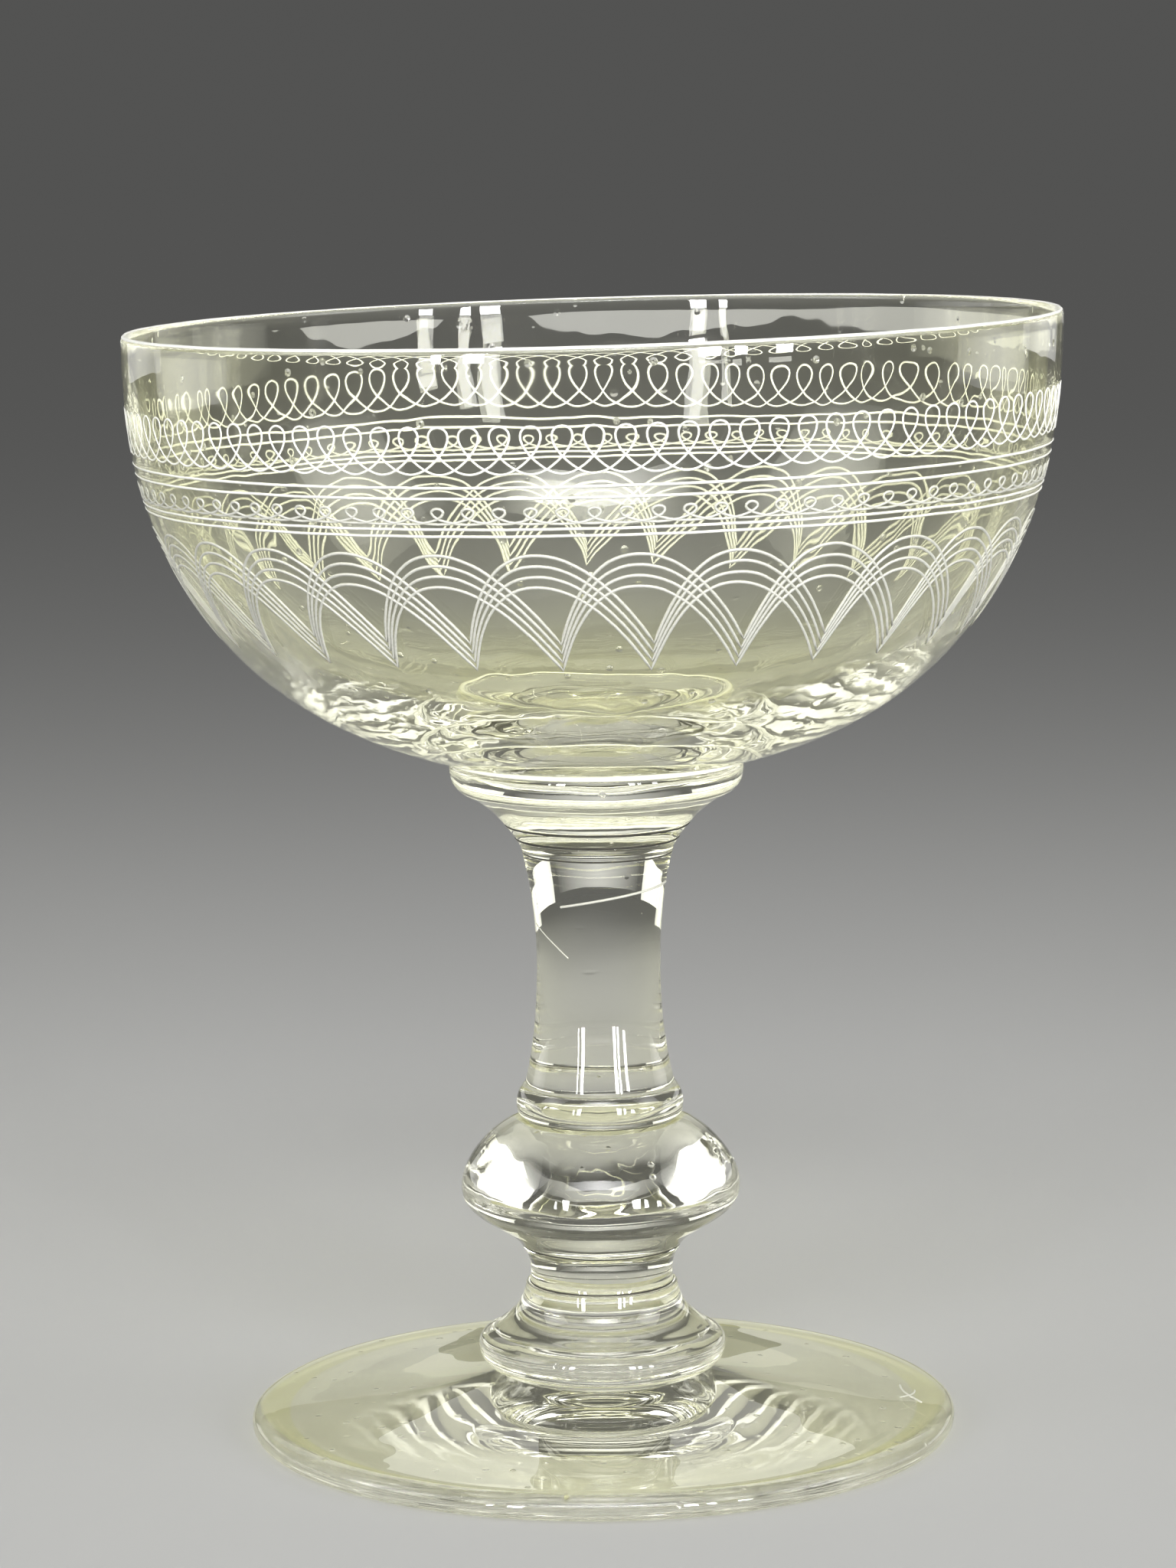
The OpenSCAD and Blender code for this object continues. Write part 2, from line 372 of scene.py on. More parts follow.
def clearGlass(name, look, group):
    material, tree, surface = newMaterial(name)
    waves = addNode(tree, "ShaderNodeGroup", {
        "Wave Size": look["waveSize"], "Wave Depth": look["waveDepth"], "Flatten": look["flatten"],
        "Seed": look["seed"], "Bubble Gap": look["bubbleGap"], "Bubble Depth": look["bubbleDepth"],
        "Worn Below": look["wornBelow"],
    }, node_tree=group)
    facing = addNode(tree, "ShaderNodeLayerWeight", {"Blend": look["edgeBlend"]}).outputs["Facing"]
    height = split(tree, addNode(tree, "ShaderNodeTexCoord").outputs["Object"])["Z"]
    thick = mapped(tree, height, (look["thickBelow"] * mm, look["thinAbove"] * mm), (1.0, 0.0))
    cloud = calc(tree, "ADD", waves.outputs["Cloud"], look["deepLeast"])
    deep = calc(tree, "MULTIPLY", calc(tree, "MAXIMUM", facing, thick), cloud)
    bump = addNode(tree, "ShaderNodeBump", {"Height": waves.outputs["Height"], "Distance": 1.0, "Strength": 1.0})
    glass = addNode(tree, "ShaderNodeBsdfPrincipled", {
        "Base Color": blendColour(tree, deep, look["tint"], look["deepTint"]), "Roughness": look["roughness"],
        "IOR": look["ior"], "Transmission Weight": look["clear"], "Normal": bump.outputs[0],
    })
    if look["smudge"]:
        feed(tree, calc(tree, "MULTIPLY", waves.outputs["Smudge"], look["smudge"]), glass.inputs["Roughness"])
    passing = addNode(tree, "ShaderNodeBsdfTransparent", {
        "Color": blendColour(tree, facing, look["shadowClear"], look["shadowEdge"]),
    })
    lamps = addNode(tree, "ShaderNodeLightPath").outputs["Is Shadow Ray"]
    mixed = addNode(tree, "ShaderNodeMixShader", {0: lamps, 1: glass.outputs[0], 2: passing.outputs[0]})
    tree.links.new(mixed.outputs[0], surface)
    return material


glassGroup = wavyGlassGroup()
leaning = leaningTree()
turnedTree = turnedGlassTree()
joint = fusedJoint()
seatBevel = 0.16  # millimetres off the edge of each fused seat on the stem
noSeat = -1.0  # a height that no piece has


def turnPiece(name, node, points, seatLow, seatHigh, piece, lean=upright):  # the seats are radii of the fused faces
    glass = clearGlass(name + "Glass", {**glassLook, **piece.get("glass", {})}, glassGroup)
    wave = piece["wave"]
    obj = outlineMesh(name, points)
    growMesh(obj, turnedTree, {
        "Turn Steps": turnSteps,
        "Low Seat": min(z for r, z in points) * mm, "High Seat": points[-1][1] * mm if seatHigh else noSeat,
        "Seat Radius Low": seatLow * mm, "Seat Radius High": seatHigh * mm,
        "Wave Height": wave["height"] * mm, "Wave Size": wave["size"] * mm, "Wave Seed": wave["seed"],
        "Glass": glass, "Joint": joint, **lean,
    })
    mesh = obj.data
    mesh.calc_loop_triangles()
    corners = [[mesh.vertices[i].co for i in t.vertices] for t in mesh.loop_triangles]
    if sum(a.dot(b.cross(c)) for a, b, c in corners) < 0:
        mesh.flip_normals()
    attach(obj, "root")
    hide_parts(node)
    print(name, len(mesh.loop_triangles), "triangles")


# foot
foot = {
    "diameter": 77, "height": 6.4, "edgeHeight": 2.6, "edgeRound": 1.3, "edgeIn": 2.6, "ringWidth": 3,
    "hollowHeight": 1.1, "spotDiameter": 17, "spotHeight": 0.5, "seat": 22.4,
    "under": [(0.5, 0)], "slope": [(0.45, 0.25), (0.8, 0.6)], "slopeSteps": 48,
    "wave": {"height": 0.25, "size": 16, "seed": 3.0},
    "glass": {"smudge": 0.09, "waveSize": 0.012, "waveDepth": 0.00003, "deepTint": (0.957, 0.952, 0.56)},
}
footTop = foot["height"]
spotTop = (0, foot["hollowHeight"] + foot["spotHeight"])
spotRim = (foot["spotDiameter"] / 2, foot["hollowHeight"])
ringIn = (foot["diameter"] / 2 - foot["edgeRound"] - foot["ringWidth"], 0)
ringOut = (foot["diameter"] / 2 - foot["edgeRound"], 0)
footEdge = (foot["diameter"] / 2, foot["edgeRound"])
footEdgeTop = (foot["diameter"] / 2 - foot["edgeIn"], foot["edgeHeight"])
footSeat = (foot["seat"] / 2, footTop)
footPoints = (
    [spotTop] + bend(spotTop, spotRim, foot["under"]) + bend(spotRim, ringIn, foot["under"]) + [ringOut]
    + bend(ringOut, footEdge, outThenUp) + bend(footEdge, footEdgeTop, upThenIn)
    + bend(footEdgeTop, footSeat, foot["slope"], foot["slopeSteps"]) + [(0, footTop)]
)
turnPiece("footDisc", "foot", footPoints, 0, foot["seat"] / 2, foot)

# foot merese
footBell = {
    "height": 9.7, "diameter": 27, "edgeHeight": 3.3, "seat": 22.4, "lift": 1.1, "top": 16.6, "topRound": 0.3,
    "under": [(1, 0.3)], "over": [(0, 0.75)], "slope": [(0.18, 0.22), (0.87, 0.34)], "topSteps": 6,
    "wave": {"height": 0.2, "size": 9, "seed": 5.0}, "glass": {"waveDepth": 0.00006},
}
neck = {
    "height": 4.2, "waist": 15.5, "waistHeight": 1.2, "seat": 15.8, "low": [(1, 0.3)], "high": [(0, 0.5)],
    "wave": {"height": 0.12, "size": 8, "seed": 7.0},
}
bellSeat = (footBell["seat"] / 2, 0)
bellEdge = (footBell["diameter"] / 2, footBell["lift"] + footBell["edgeHeight"] / 2)
bellEdgeTop = (bellEdge[0] - footBell["edgeHeight"] / 2, footBell["lift"] + footBell["edgeHeight"])
bellLedge = (footBell["top"] / 2, footBell["height"] - footBell["topRound"])
bellTop = (bellLedge[0] - footBell["topRound"], footBell["height"])
bellPoints = raised(
    [(0, 0), bellSeat] + bend(bellSeat, bellEdge, footBell["under"]) + bend(bellEdge, bellEdgeTop, footBell["over"])
    + bend(bellEdgeTop, bellLedge, footBell["slope"]) + bend(bellLedge, bellTop, upThenIn, footBell["topSteps"])
    + [(0, footBell["height"])],
    footTop,
)
turnPiece("footMerese", "foot_merese", bellPoints, footBell["seat"] / 2, neck["seat"] / 2, footBell)

# neck
knop = {
    "height": 14.1, "diameter": 30.5, "bellyHeight": 6.5, "seat": 17.5,
    "under": [(0.3, 0.44), (1, 0.48)], "underSteps": 32, "top": [(0, 0.46), (0.65, 0.98)], "topSteps": 40,
    "wave": {"height": 0.3, "size": 9, "seed": 9.0},
}
neckZ = footTop + footBell["height"]
neckSeat = (neck["seat"] / 2, 0)
neckWaist = (neck["waist"] / 2, neck["waistHeight"])
neckTop = (knop["seat"] / 2, neck["height"])
neckPoints = raised(
    [(0, 0), neckSeat] + bend(neckSeat, neckWaist, neck["low"]) + bend(neckWaist, neckTop, neck["high"])
    + [(0, neck["height"])],
    neckZ,
)
turnPiece("stemNeck", "stem_neck", grooved(neckPoints, seatBevel), neck["seat"] / 2, knop["seat"] / 2, neck)

# knop
collar = {
    "height": 3.8, "diameter": 18.2, "bellyHeight": 1.5, "seat": 16.6, "low": [(1, 0.17)], "high": [(0, 0.62)],
    "wave": {"height": 0.1, "size": 8, "seed": 11.0},
}
knopZ = neckZ + neck["height"]
knopSeat = (knop["seat"] / 2, 0)
knopBelly = (knop["diameter"] / 2, knop["bellyHeight"])
knopTop = (collar["seat"] / 2, knop["height"])
knopPoints = raised(
    [(0, 0), knopSeat] + bend(knopSeat, knopBelly, knop["under"], knop["underSteps"])
    + bend(knopBelly, knopTop, knop["top"], knop["topSteps"]) + [(0, knop["height"])],
    knopZ,
)
turnPiece("stemKnop", "knop", grooved(knopPoints, seatBevel), knop["seat"] / 2, collar["seat"] / 2, knop)

# stem collar
shaft = {
    "height": 25.4, "waist": 13.4, "waistHeight": 12.7, "seat": 16.3,
    "low": [(1, 0.45)], "high": [(0, 0.55)], "sideSteps": 40,
    "wave": {"height": 0.22, "size": 10, "seed": 13.0},
    "glass": {"waveSize": 0.0035, "waveDepth": 0.00005, "flatten": 0.08},
}
collarZ = knopZ + knop["height"]
collarSeat = (collar["seat"] / 2, 0)
collarBelly = (collar["diameter"] / 2, collar["bellyHeight"])
collarTop = (shaft["seat"] / 2, collar["height"])
collarPoints = raised(
    [(0, 0), collarSeat] + bend(collarSeat, collarBelly, collar["low"]) + bend(collarBelly, collarTop, collar["high"])
    + [(0, collar["height"])],
    collarZ,
)
turnPiece("stemCollar", "stem_collar", grooved(collarPoints, seatBevel), collar["seat"] / 2, shaft["seat"] / 2,
          collar)

# shaft
bowlBell = {
    "height": 10, "diameter": 31.8, "edgeHeight": 3.5, "lip": 0.7, "lipSteps": 8, "seat": 16.3,
    "grooves": (1.55, 3.05), "grooveDepth": 0.16, "grooveWidth": 0.36,
    "neck": [(0, 0.17), (0.52, 0.81)], "neckSteps": 32, "edge": [(1, 0.21)],
    "wave": {"height": 0.2, "size": 10, "seed": 15.0},
}
shaftZ = collarZ + collar["height"]
shaftSeat = (shaft["seat"] / 2, 0)
shaftWaist = (shaft["waist"] / 2, shaft["waistHeight"])
shaftTop = (bowlBell["seat"] / 2, shaft["height"])
shaftPoints = raised(
    [(0, 0), shaftSeat] + bend(shaftSeat, shaftWaist, shaft["low"], shaft["sideSteps"])
    + bend(shaftWaist, shaftTop, shaft["high"], shaft["sideSteps"]) + [(0, shaft["height"])],
    shaftZ,
)
turnPiece("stemShaft", "stem_shaft", grooved(shaftPoints, seatBevel), shaft["seat"] / 2, bowlBell["seat"] / 2, shaft)

# bowl merese
bowlBellZ = shaftZ + shaft["height"]
trumpetSeat = (bowlBell["seat"] / 2, 0)
trumpetLow = (bowlBell["diameter"] / 2 - bowlBell["edgeHeight"] / 2, bowlBell["height"] - bowlBell["edgeHeight"])
trumpetEdge = (bowlBell["diameter"] / 2, bowlBell["height"] - bowlBell["lip"])
trumpetTop = (bowlBell["diameter"] / 2 - bowlBell["lip"], bowlBell["height"])
trumpetPoints = raised(
    [(0, 0), trumpetSeat] + bend(trumpetSeat, trumpetLow, bowlBell["neck"], bowlBell["neckSteps"])
    + bend(trumpetLow, trumpetEdge, bowlBell["edge"]) + bend(trumpetEdge, trumpetTop, upThenIn, bowlBell["lipSteps"])
    + [(0, bowlBell["height"])],
    bowlBellZ,
)
trumpetGrooves = [(bowlBellZ + z, bowlBell["grooveDepth"], bowlBell["grooveWidth"]) for z in bowlBell["grooves"]]
turnPiece("bowlMerese", "bowl_merese", grooved(trumpetPoints, 0, trumpetGrooves), bowlBell["seat"] / 2, trumpetTop[0],
          bowlBell)

# bowl
bowl = {
    "rim": 100, "height": 47.2, "wall": 1.1, "base": 3.8, "lipSteps": 12, "wallSteps": 96,
    "lean": 1.1, "leanFrom": 2,  # degrees, and how far up the bowl it starts
    "side": [(0.84, 0.136), (0.838, 0.556), (1, 0.548)],
    "inside": [(0, 0.59), (0.15, 0.27), (-0.02, 1.18), (0.89, 1)],
    "wave": {"height": 0.25, "size": 22, "seed": 17.0},
    "glass": {
        "smudge": 0.05, "waveSize": 0.010, "waveDepth": 0.00011, "flatten": 0.5, "thickBelow": 75, "thinAbove": 86,
        "tint": (0.985, 0.984, 0.91), "deepTint": (0.965, 0.96, 0.6),
    },
}
bowlZ = bowlBellZ + bowlBell["height"]
bowlSeat = (trumpetTop[0], 0)
lipRound = bowl["wall"] / 2
outerLip = (bowl["rim"] / 2, bowl["height"] - lipRound)
innerLip = (bowl["rim"] / 2 - bowl["wall"], bowl["height"] - lipRound)
bowlOutside = [bowlSeat] + bend(bowlSeat, outerLip, bowl["side"], bowl["wallSteps"])
lipTurns = [math.pi * i / bowl["lipSteps"] for i in range(1, bowl["lipSteps"])]
lipPoints = [
    (outerLip[0] - lipRound + lipRound * math.cos(t), outerLip[1] + lipRound * math.sin(t)) for t in lipTurns
]
bowlPoints = raised(
    [(0, 0)] + bowlOutside + lipPoints + [innerLip]
    + bend(innerLip, (0, bowl["base"]), bowl["inside"], bowl["wallSteps"]),
    bowlZ,
)
bowlLean = {
    "Lean": math.tan(math.radians(bowl["lean"])),
    "Lean From": (bowlZ + bowl["leanFrom"]) * mm, "Lean To": (bowlZ + bowl["height"]) * mm,
}
turnPiece("bowlWall", "bowl", bowlPoints, bowlSeat[0], 0, bowl, bowlLean)


# lines that follow a turned outline: etched bands, lines round the joints and small marks

def placeOnWall(tree, outline, along, turn, sink):  # so far down the outline, at a turn round the axis
    do = lambda operation, *values: calc(tree, operation, *values)
    outside = addNode(tree, "GeometryNodeMeshToCurve", {"Mesh": outline}).outputs[0]
    wall = addNode(tree, "GeometryNodeSampleCurve", {"Curves": outside, "Length": along}, mode="LENGTH")
    place, heading = split(tree, wall.outputs["Position"]), split(tree, wall.outputs["Tangent"])
    radius = do("ADD", place["X"], do("MULTIPLY", heading["Z"], sink))
    return addNode(tree, "ShaderNodeCombineXYZ", {
        "X": do("MULTIPLY", radius, do("COSINE", turn)), "Y": do("MULTIPLY", radius, do("SINE", turn)),
        "Z": do("SUBTRACT", place["Z"], do("MULTIPLY", heading["X"], sink)),
    }).outputs[0]


def keepSwell(tree, points, swell):
    return addNode(tree, "GeometryNodeStoreNamedAttribute", {
        "Geometry": points, "Name": "swell", "Value": swell,
    }).outputs[0]


def lineThrough(tree, curves, width, sides, caps=False):
    cut = addNode(tree, "GeometryNodeCurvePrimitiveCircle", {
        "Resolution": sides, "Radius": calc(tree, "MULTIPLY", width, 0.5),
    }).outputs["Curve"]
    return addNode(tree, "GeometryNodeCurveToMesh", {
        "Curve": curves, "Profile Curve": cut, "Fill Caps": caps,
    }).outputs[0]


etched = {  # widths and depths in millimetres, but "depth" in metres
    "lineWidth": 0.3, "sides": 4, "sink": 0.04,
    "hand": 0.2, "handScale": 9.0,  # how far the hand strays
    "press": 2.4, "pressScale": 240.0, "thinnest": 0.3,  # how the line thickens and thins
    "pale": (0.74, 0.74, 0.67), "bright": (0.95, 0.95, 0.90),
    "wornPale": (0.4, 0.4, 0.35), "wornBright": (0.66, 0.66, 0.6),
    "roughness": (0.35, 0.7), "grain": 3000.0, "depth": 0.00004,
}


def etchedBandTree():
    tree, given, result = newTree("etchedBand", [
        ("Outside", "Geometry"), ("Lines", "Int"), ("Line Gap", "Float"), ("Repeats", "Int"), ("Turns", "Int"),
        ("Repeat Steps", "Int"), ("Start", "Float"), ("Drop", "Float"), ("Depth", "Float"), ("Swing", "Float"),
        ("Curl", "Float"), ("Arched", "Float"), ("Flank", "Float"), ("Skew", "Float"), ("Line Width", "Float"),
        ("Sink", "Float"), ("Hand", "Float"), ("Press", "Float"), ("Swell", "Float"), ("Seed", "Float"),
        ("Frosted", "Material"), *leanInputs,
    ])
    do = lambda operation, *values: calc(tree, operation, *values)
    steps, repeats = given["Repeat Steps"], given["Repeats"]
    perLine = do("MULTIPLY", steps, repeats)
    points = addNode(tree, "GeometryNodePoints", {"Count": do("MULTIPLY", perLine, given["Lines"])}).outputs[0]
    index = addNode(tree, "GeometryNodeInputIndex").outputs[0]
    line = do("FLOOR", do("DIVIDE", do("ADD", index, 0.5), perLine))
    t = do("DIVIDE", do("SUBTRACT", index, do("MULTIPLY", line, perLine)), steps)
    whole = do("FLOOR", do("ADD", t, 0.001))  # the small share keeps a whole repeat from rounding down
    # loops: a point that circles as it travels
    angle = do("MULTIPLY", t, math.tau)
    loopX = do("SUBTRACT", do("SUBTRACT", t, do("MULTIPLY", given["Swing"], do("SINE", angle))),
               do("MULTIPLY", given["Curl"], do("SINE", do("MULTIPLY", angle, 2.0))))
    loopY = do("MULTIPLY", do("SUBTRACT", 1.0, do("COSINE", angle)), 0.5)
    # arches: round at the crown, pointed at the feet, leaning a little
    side = do("SUBTRACT", do("MULTIPLY", do("SUBTRACT", t, whole), 2.0), 1.0)
    archY = do("POWER", do("ABSOLUTE", side), given["Flank"])
    slant = do("MULTIPLY", given["Skew"], do("SUBTRACT", 1.0, archY))
    archX = do("ADD", do("ADD", whole, 0.5), do("MULTIPLY", do("SUBTRACT", side, slant), 0.5))
    x, y = (
        addNode(tree, "ShaderNodeMix", {"Factor": given["Arched"], 2: loop, 3: arch}).outputs[0]
        for loop, arch in ((loopX, archX), (loopY, archY))
    )
    repeatTurn = do("DIVIDE", do("MULTIPLY", given["Turns"], math.tau), repeats)
    turn = do("ADD", given["Start"], do("MULTIPLY", x, repeatTurn))
    flat = addNode(tree, "ShaderNodeCombineXYZ", {
        "X": do("COSINE", turn), "Y": do("SINE", turn), "Z": do("ADD", line, y),
    }).outputs[0]
    shake = softNoise(tree, flat, given["Seed"], etched["handScale"], 1.0)
    along = do("ADD", given["Drop"], do("MULTIPLY", line, given["Line Gap"]))
    along = do("ADD", along, do("MULTIPLY", y, given["Depth"]))
    along = do("ADD", along, do("MULTIPLY", do("SUBTRACT", shake, 0.5), given["Hand"]))
    points = moved(tree, points, Position=placeOnWall(tree, given["Outside"], along, turn, given["Sink"]))
    belly = do("MULTIPLY", do("MULTIPLY", y, do("SUBTRACT", 1.0, y)), do("MULTIPLY", given["Swell"], 4.0))
    points = keepSwell(tree, points, do("ADD", 1.0, belly))
    curves = addNode(tree, "GeometryNodePointsToCurves", {"Points": points, "Curve Group ID": line}).outputs[0]
    curves = addNode(tree, "GeometryNodeSetSplineCyclic", {"Geometry": curves, "Cyclic": True}).outputs[0]
    press = softNoise(tree, position(tree), given["Seed"], etched["pressScale"], 2.0)
    pressed = do("ADD", do("MULTIPLY", do("SUBTRACT", press, 0.5), given["Press"]), 1.0)
    swell = addNode(tree, "GeometryNodeInputNamedAttribute", {"Name": "swell"}).outputs["Attribute"]
    curves = addNode(tree, "GeometryNodeSetCurveRadius", {
        "Curve": curves, "Radius": do("MAXIMUM", do("MULTIPLY", pressed, swell), etched["thinnest"]),
    }).outputs[0]
    body = lineThrough(tree, curves, given["Line Width"], etched["sides"])
    body = madeOf(tree, smooth(tree, leaned(tree, body, given)), given["Frosted"])
    tree.links.new(body, result["Geometry"])
    return tree


def grainOf(tree, scale):
    place = addNode(tree, "ShaderNodeTexCoord").outputs["Object"]
    return addNode(tree, "ShaderNodeTexNoise", {"Vector": place, "Scale": scale, "Detail": 3.0}).outputs[0]


def frostedCut(name, look):
    material, tree, surface = newMaterial(name)
    grain = grainOf(tree, look["grain"])
    rough = mapped(tree, grain, (0.0, 1.0), look["roughness"])
    bump = addNode(tree, "ShaderNodeBump", {"Height": grain, "Distance": look["depth"], "Strength": 1.0})
    matt = addNode(tree, "ShaderNodeBsdfPrincipled", {
        "Base Color": blendColour(tree, grain, look["pale"], look["bright"]), "Roughness": rough,
        "Normal": bump.outputs[0],
    })
    tree.links.new(matt.outputs[0], surface)
    return material


# painted shade: a near-black line that stands in for the dark lines the grooves and seams show
def paintedShadeLine(look):
    material, tree, surface = newMaterial("paintedShadeLine")
    colour = blendColour(tree, grainOf(tree, look["grain"]), look["dark"], look["light"])
    matt = addNode(tree, "ShaderNodeBsdfPrincipled", {"Base Color": colour, "Roughness": look["roughness"]})
    tree.links.new(matt.outputs[0], surface)
    return material


etchedTree = etchedBandTree()
frosted = {
    "fresh": frostedCut("frostedCut", etched),
    "worn": frostedCut("wornCut", {**etched, "pale": etched["wornPale"], "bright": etched["wornBright"]}),
}
plainLine = {  # straight round the glass, once
    "Lines": 1, "Line Gap": 0.0, "Repeats": turnSteps, "Turns": 1, "Repeat Steps": 1, "Start": 0.0, "Depth": 0.0,
    "Swing": 0.0, "Curl": 0.0, "Arched": 0.0, "Flank": 1.0, "Skew": 0.0, "Swell": 0.0,
}

# etched bands, cut round the outside of the bowl with a fine point, and a white line along its rim that is a painted
# highlight
etchedBands = {
    # painted highlight: a white frosted line round the rim, standing in for the bright line the rounded rim shows
    "rimHighlight": {"Drop": 0.3, "Line Width": 0.42},
    "etchedLoops": {
        "Repeats": 101, "Turns": 2, "Repeat Steps": 28, "Drop": 7.9, "Depth": 4.75, "Swing": 0.33, "Curl": 0.05,
        "Swell": 1.6, "Line Width": 0.24,
    },
    "etchedUpperRings": {"Lines": 2, "Line Gap": 1.13, "Drop": 13.97},
    "etchedChain": {
        "Repeats": 97, "Turns": 2, "Repeat Steps": 16, "Drop": 16.1, "Depth": 1.65, "Swing": 0.31, "Cut": "worn",
    },
    "etchedLowerRings": {"Lines": 2, "Line Gap": 0.73, "Drop": 18.3},
    "etchedArches": {
        "Lines": 4, "Line Gap": 1.18, "Repeats": 29, "Turns": 2, "Repeat Steps": 40, "Drop": 21.1, "Depth": 10.4,
        "Arched": 1.0, "Flank": 2.15, "Skew": 0.21, "Start": math.radians(-94.6), "Line Width": 0.36, "Cut": "worn",
    },
}
lipUp = lipPoints[:bowl["lipSteps"] // 2 - 1][::-1]
rimToSeat = raised([(outerLip[0] - lipRound, bowl["height"])] + lipUp + bowlOutside[::-1], bowlZ)
for number, (name, band) in enumerate(etchedBands.items()):
    obj = outlineMesh(name, rimToSeat)
    sizes = {"Line Width": etched["lineWidth"], "Sink": etched["sink"], "Hand": etched["hand"]}
    sizes.update({key: band[key] for key in ("Line Gap", "Drop", "Depth", "Line Width") if key in band})
    growMesh(obj, etchedTree, {
        **plainLine, "Start": -math.pi / 2, **band, **{key: size * mm for key, size in sizes.items()}, **bowlLean,
        "Press": etched["press"], "Seed": 20.0 + number, "Frosted": frosted[band.get("Cut", "fresh")],
    })
    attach(obj, "root")
    print(name, len(obj.data.polygons), "faces")

# fine lines round the joints: near-black lines in the grooves and along the seams are painted shade, and the white
# line at the seam under the bowl is a painted highlight
# colours of the painted shade lines, near black
paintedShadeLook = {"dark": (0.01, 0.01, 0.008), "light": (0.06, 0.055, 0.04), "grain": 900.0, "roughness": 0.6}
paintedShade = paintedShadeLine(paintedShadeLook)
# painted highlight: a near-white frosted ring at the seam under the bowl, standing in for the bright ring of light
# there
paintedSeamHighlight = frostedCut("seamHighlightLine", {**etched, "pale": (0.9, 0.9, 0.84), "bright": (1.0, 1.0, 0.95)})
jointLook = {"hand": 0.02, "press": 0.8, "in": 0.05}  # in: how far inside the end of a piece its dark line runs
jointLines = {  # the outline, the height of each line, and the line's width and how deep it lies, in millimetres
    "trumpetLines": {
        "on": trumpetPoints, "at": [bowlBellZ + z for z in bowlBell["grooves"]], "width": 0.34, "sink": 0.07,
    },
    "shaftTopLine": {"on": shaftPoints, "at": [bowlBellZ - jointLook["in"]], "width": 0.2, "sink": 0.09},
    "collarLine": {"on": collarPoints, "at": [collarZ + jointLook["in"]], "width": 0.24, "sink": 0.09},
    "neckLine": {"on": neckPoints, "at": [knopZ - jointLook["in"]], "width": 0.2, "sink": 0.09},
    "bellLine": {"on": neckPoints, "at": [neckZ + jointLook["in"]], "width": 0.2, "sink": 0.09},
    # the seam line is a painted highlight
    "bowlSeamHighlight": {"on": trumpetPoints, "at": [bowlZ - 0.02], "width": 0.75, "sink": 0.04, "bright": True},
}
for number, (name, line) in enumerate(jointLines.items()):
    down = line["on"][-2:0:-1]
    drops = [arcDown(down, z) for z in line["at"]]
    obj = outlineMesh(name, down)
    growMesh(obj, etchedTree, {
        **plainLine, **upright, "Lines": len(drops), "Line Gap": (drops[0] - drops[-1]) / max(len(drops) - 1, 1) * mm,
        "Drop": min(drops) * mm, "Line Width": line["width"] * mm, "Sink": line["sink"] * mm,
        "Hand": jointLook["hand"] * mm, "Press": jointLook["press"], "Seed": 40.0 + number,
        "Frosted": paintedSeamHighlight if line.get("bright") else paintedShade,
    })
    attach(obj, "root")
    print(name, len(obj.data.polygons), "faces")

# marks of the making: a shear mark and a scratch on the shaft, a small chip at the edge of the foot; the shear mark
# is real, and its white colour is a painted highlight
markCut = {"steps": 28, "sides": 6, "sink": 0.03, "blunt": 0.03}  # blunt: how much of each tapered end is left off


def surfaceMarkTree():
    tree, given, result = newTree("surfaceMark", [
        ("Outside", "Geometry"), ("From Turn", "Float"), ("To Turn", "Float"), ("From Drop", "Float"),
        ("To Drop", "Float"), ("Bow", "Float"), ("Line Width", "Float"), ("Sink", "Float"), ("Steps", "Int"),
        ("Cut", "Material"),
    ])
    do = lambda operation, *values: calc(tree, operation, *values)
    points = addNode(tree, "GeometryNodePoints", {"Count": given["Steps"]}).outputs[0]
    t = do("DIVIDE", addNode(tree, "GeometryNodeInputIndex").outputs[0], do("SUBTRACT", given["Steps"], 1.0))
    ends = do("ADD", do("MULTIPLY", t, 1 - 2 * markCut["blunt"]), markCut["blunt"])
    taper = do("SINE", do("MULTIPLY", ends, math.pi))
    turn = do("ADD", given["From Turn"], do("MULTIPLY", t, do("SUBTRACT", given["To Turn"], given["From Turn"])))
    along = do("ADD", given["From Drop"], do("MULTIPLY", t, do("SUBTRACT", given["To Drop"], given["From Drop"])))
    along = do("ADD", along, do("MULTIPLY", given["Bow"], taper))
    points = moved(tree, points, Position=placeOnWall(tree, given["Outside"], along, turn, given["Sink"]))
    curves = addNode(tree, "GeometryNodePointsToCurves", {"Points": keepSwell(tree, points, taper)}).outputs[0]
    swell = addNode(tree, "GeometryNodeInputNamedAttribute", {"Name": "swell"}).outputs["Attribute"]
    curves = addNode(tree, "GeometryNodeSetCurveRadius", {"Curve": curves, "Radius": swell}).outputs[0]
    body = smooth(tree, lineThrough(tree, curves, given["Line Width"], markCut["sides"], True))
    tree.links.new(madeOf(tree, body, given["Cut"]), result["Geometry"])
    return tree


footTopIn = [q for q in footPoints if q[1] >= foot["edgeHeight"]][:-1]
shaftDown = shaftPoints[-2:0:-1]
marks = {  # turns in degrees from the front, drops in millimetres down the shaft or in from the foot's edge
    # a real shear mark, drawn white as a painted highlight of the fold
    "shearMarkHighlight": {
        "on": shaftDown, "slot": "stem_shaft_glass", "turn": (-34, 78), "drop": (5.3, 3.3), "bow": -0.3,
        "width": 0.3,
    },
    "shaftScratch": {
        "on": shaftDown, "slot": "stem_shaft_glass", "turn": (-72, -29), "drop": (7.9, 10.9), "bow": -0.3,
        "width": 0.16,
    },
    "footChipLong": {
        "on": footTopIn, "slot": "foot_glass", "turn": (84, 95), "drop": (0.9, 2.9), "bow": 0.8, "width": 0.26,
    },
    "footChipShort": {
        "on": footTopIn, "slot": "foot_glass", "turn": (86, 92), "drop": (3.4, 1.6), "bow": -0.5, "width": 0.2,
    },
}
markTree = surfaceMarkTree()
